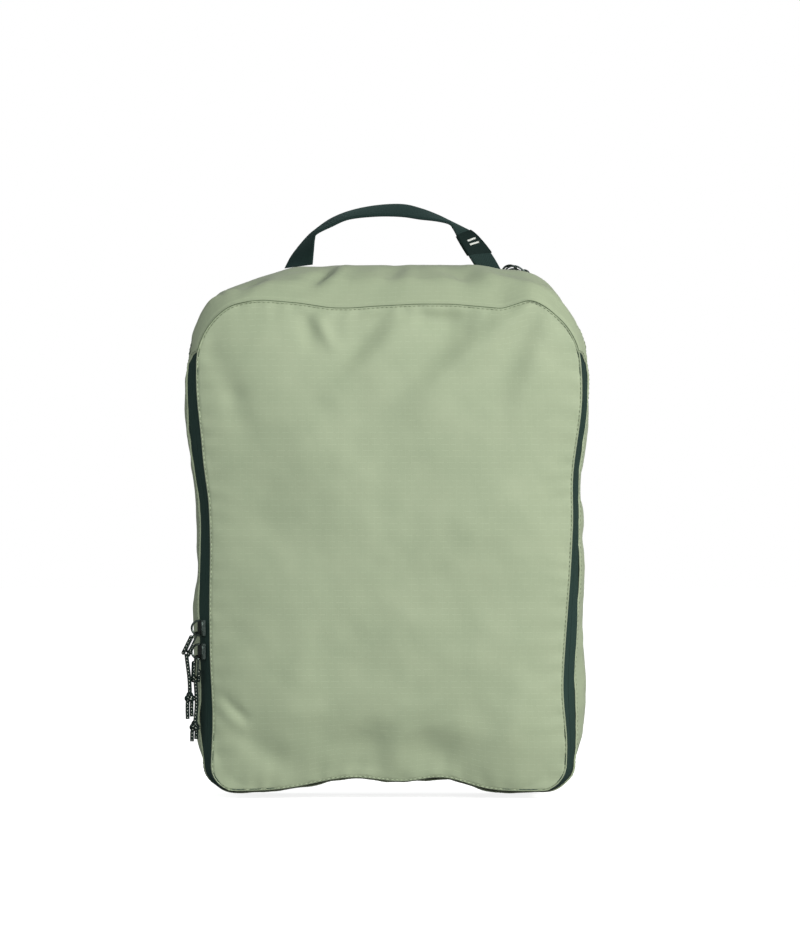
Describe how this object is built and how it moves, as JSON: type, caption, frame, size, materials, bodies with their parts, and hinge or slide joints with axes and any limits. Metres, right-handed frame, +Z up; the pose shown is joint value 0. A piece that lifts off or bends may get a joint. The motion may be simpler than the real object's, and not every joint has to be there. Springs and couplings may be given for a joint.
{
  "type": "packing cube",
  "caption": "Soft two-sided packing cube that stands upright, with a webbing carry handle on top, a zipped front flap with sliders and cord pulls, and a zipped rear mesh panel.",
  "frame": {"origin": "on the plane the cube stands on, under the middle of the body, in the plane of the middle seam", "axes": "+Z up, the front flap faces -Y, +X to the right seen from the front"},
  "size_m": [0.2749, 0.1218, 0.4043],
  "materials": {
    "shell_fabric": "matt coated ripstop",
    "zip_tape": "smooth woven zip tape",
    "zip_coil": "satin nylon coil",
    "binding": "grosgrain binding tape",
    "mesh": "open knitted mesh",
    "webbing": "woven webbing",
    "label": "woven label",
    "cord": "braided cord with light flecks",
    "gunmetal": "polished gunmetal plating"
  },
  "bodies": {
    "shell": {"front_panel_head": "shell_fabric", "front_gusset": "shell_fabric", "rear_gusset": "shell_fabric", "divider_panel": "shell_fabric", "middle_seam_binding": "binding", "front_zip_body_tape": "zip_tape", "front_zip_body_coil": "zip_coil", "front_body_binding": "binding", "rear_zip_body_tape": "zip_tape", "rear_zip_body_coil": "zip_coil", "rear_body_binding": "binding"},
    "front_flap": {"front_panel": "shell_fabric", "front_zip_flap_tape": "zip_tape", "front_zip_flap_coil": "zip_coil", "front_flap_binding": "binding"},
    "rear_flap": {"back_panel_border": "shell_fabric", "back_mesh_window": "mesh", "window_binding": "binding", "rear_zip_flap_tape": "zip_tape", "rear_zip_flap_coil": "zip_coil", "rear_flap_binding": "binding"},
    "handle": {"handle_webbing": "webbing", "handle_label": "label"},
    "upper_slider": {"upper_slider": "gunmetal"},
    "upper_pull": {"upper_pull_wire": "gunmetal"},
    "upper_cord": {"upper_pull_cord": "cord"},
    "lower_slider": {"lower_slider": "gunmetal"},
    "lower_pull": {"lower_pull_wire": "gunmetal"},
    "lower_cord": {"lower_pull_cord": "cord"},
    "rear_slider": {"rear_slider": "gunmetal"},
    "rear_pull": {"rear_pull_wire": "gunmetal"},
    "rear_cord": {"rear_pull_cord": "cord"}
  },
  "joints": [
    {"name": "front_flap_fold", "type": "hinge", "parent": "shell", "child": "front_flap", "pos_m": [0, -0.05453, 0.3], "axis": [-1, 0, 0], "range_deg": [0, 165]},
    {"name": "rear_flap_fold", "type": "hinge", "parent": "shell", "child": "rear_flap", "pos_m": [0, 0.0475, 0.351], "axis": [1, 0, 0], "range_deg": [0, 140]},
    {"name": "upper_slider_travel", "type": "slide", "parent": "shell", "child": "upper_slider", "axis": [0, 0, 1], "range_m": [0, 0.075]},
    {"name": "lower_slider_travel", "type": "slide", "parent": "shell", "child": "lower_slider", "axis": [0, 0, 1], "range_m": [-0.072, 0]},
    {"name": "rear_slider_travel", "type": "hinge", "parent": "shell", "child": "rear_slider", "pos_m": [0.08, 0.041, 0.301], "axis": [0, 1, 0], "range_deg": [0, 34]},
    {"name": "upper_pull_swing", "type": "hinge", "parent": "upper_slider", "child": "upper_pull", "pos_m": [-0.1284, -0.041, 0.1112], "axis": [-0.3939, 0.9191, 0], "range_deg": [0, 90]},
    {"name": "lower_pull_swing", "type": "hinge", "parent": "lower_slider", "child": "lower_pull", "pos_m": [-0.1284, -0.041, 0.0952], "axis": [-0.9191, -0.3939, 0], "range_deg": [0, 15]},
    {"name": "rear_pull_swing", "type": "hinge", "parent": "rear_slider", "child": "rear_pull", "pos_m": [0.08198, 0.041, 0.35857], "axis": [0, -0.9191, 0.3939], "range_deg": [0, 110]},
    {"name": "upper_cord_swing", "type": "hinge", "parent": "upper_pull", "child": "upper_cord", "pos_m": [-0.13487, -0.04377, 0.09796], "axis": [-0.3939, 0.9191, 0], "range_deg": [0, 60]},
    {"name": "lower_cord_swing", "type": "hinge", "parent": "lower_pull", "child": "lower_cord", "pos_m": [-0.12888, -0.04121, 0.08021], "axis": [-0.9191, -0.3939, 0], "range_deg": [0, 18]},
    {"name": "rear_cord_swing", "type": "hinge", "parent": "rear_pull", "child": "rear_cord", "pos_m": [0.09608, 0.04302, 0.36328], "axis": [0, -0.9191, 0.3939], "range_deg": [0, 60]},
    {"name": "handle_fold", "type": "hinge", "parent": "shell", "child": "handle", "pos_m": [0, 0, 0.3622], "axis": [1, 0, 0], "range_deg": [-60, 60], "stiffness_Nm_per_rad": 0.02}
  ]
}
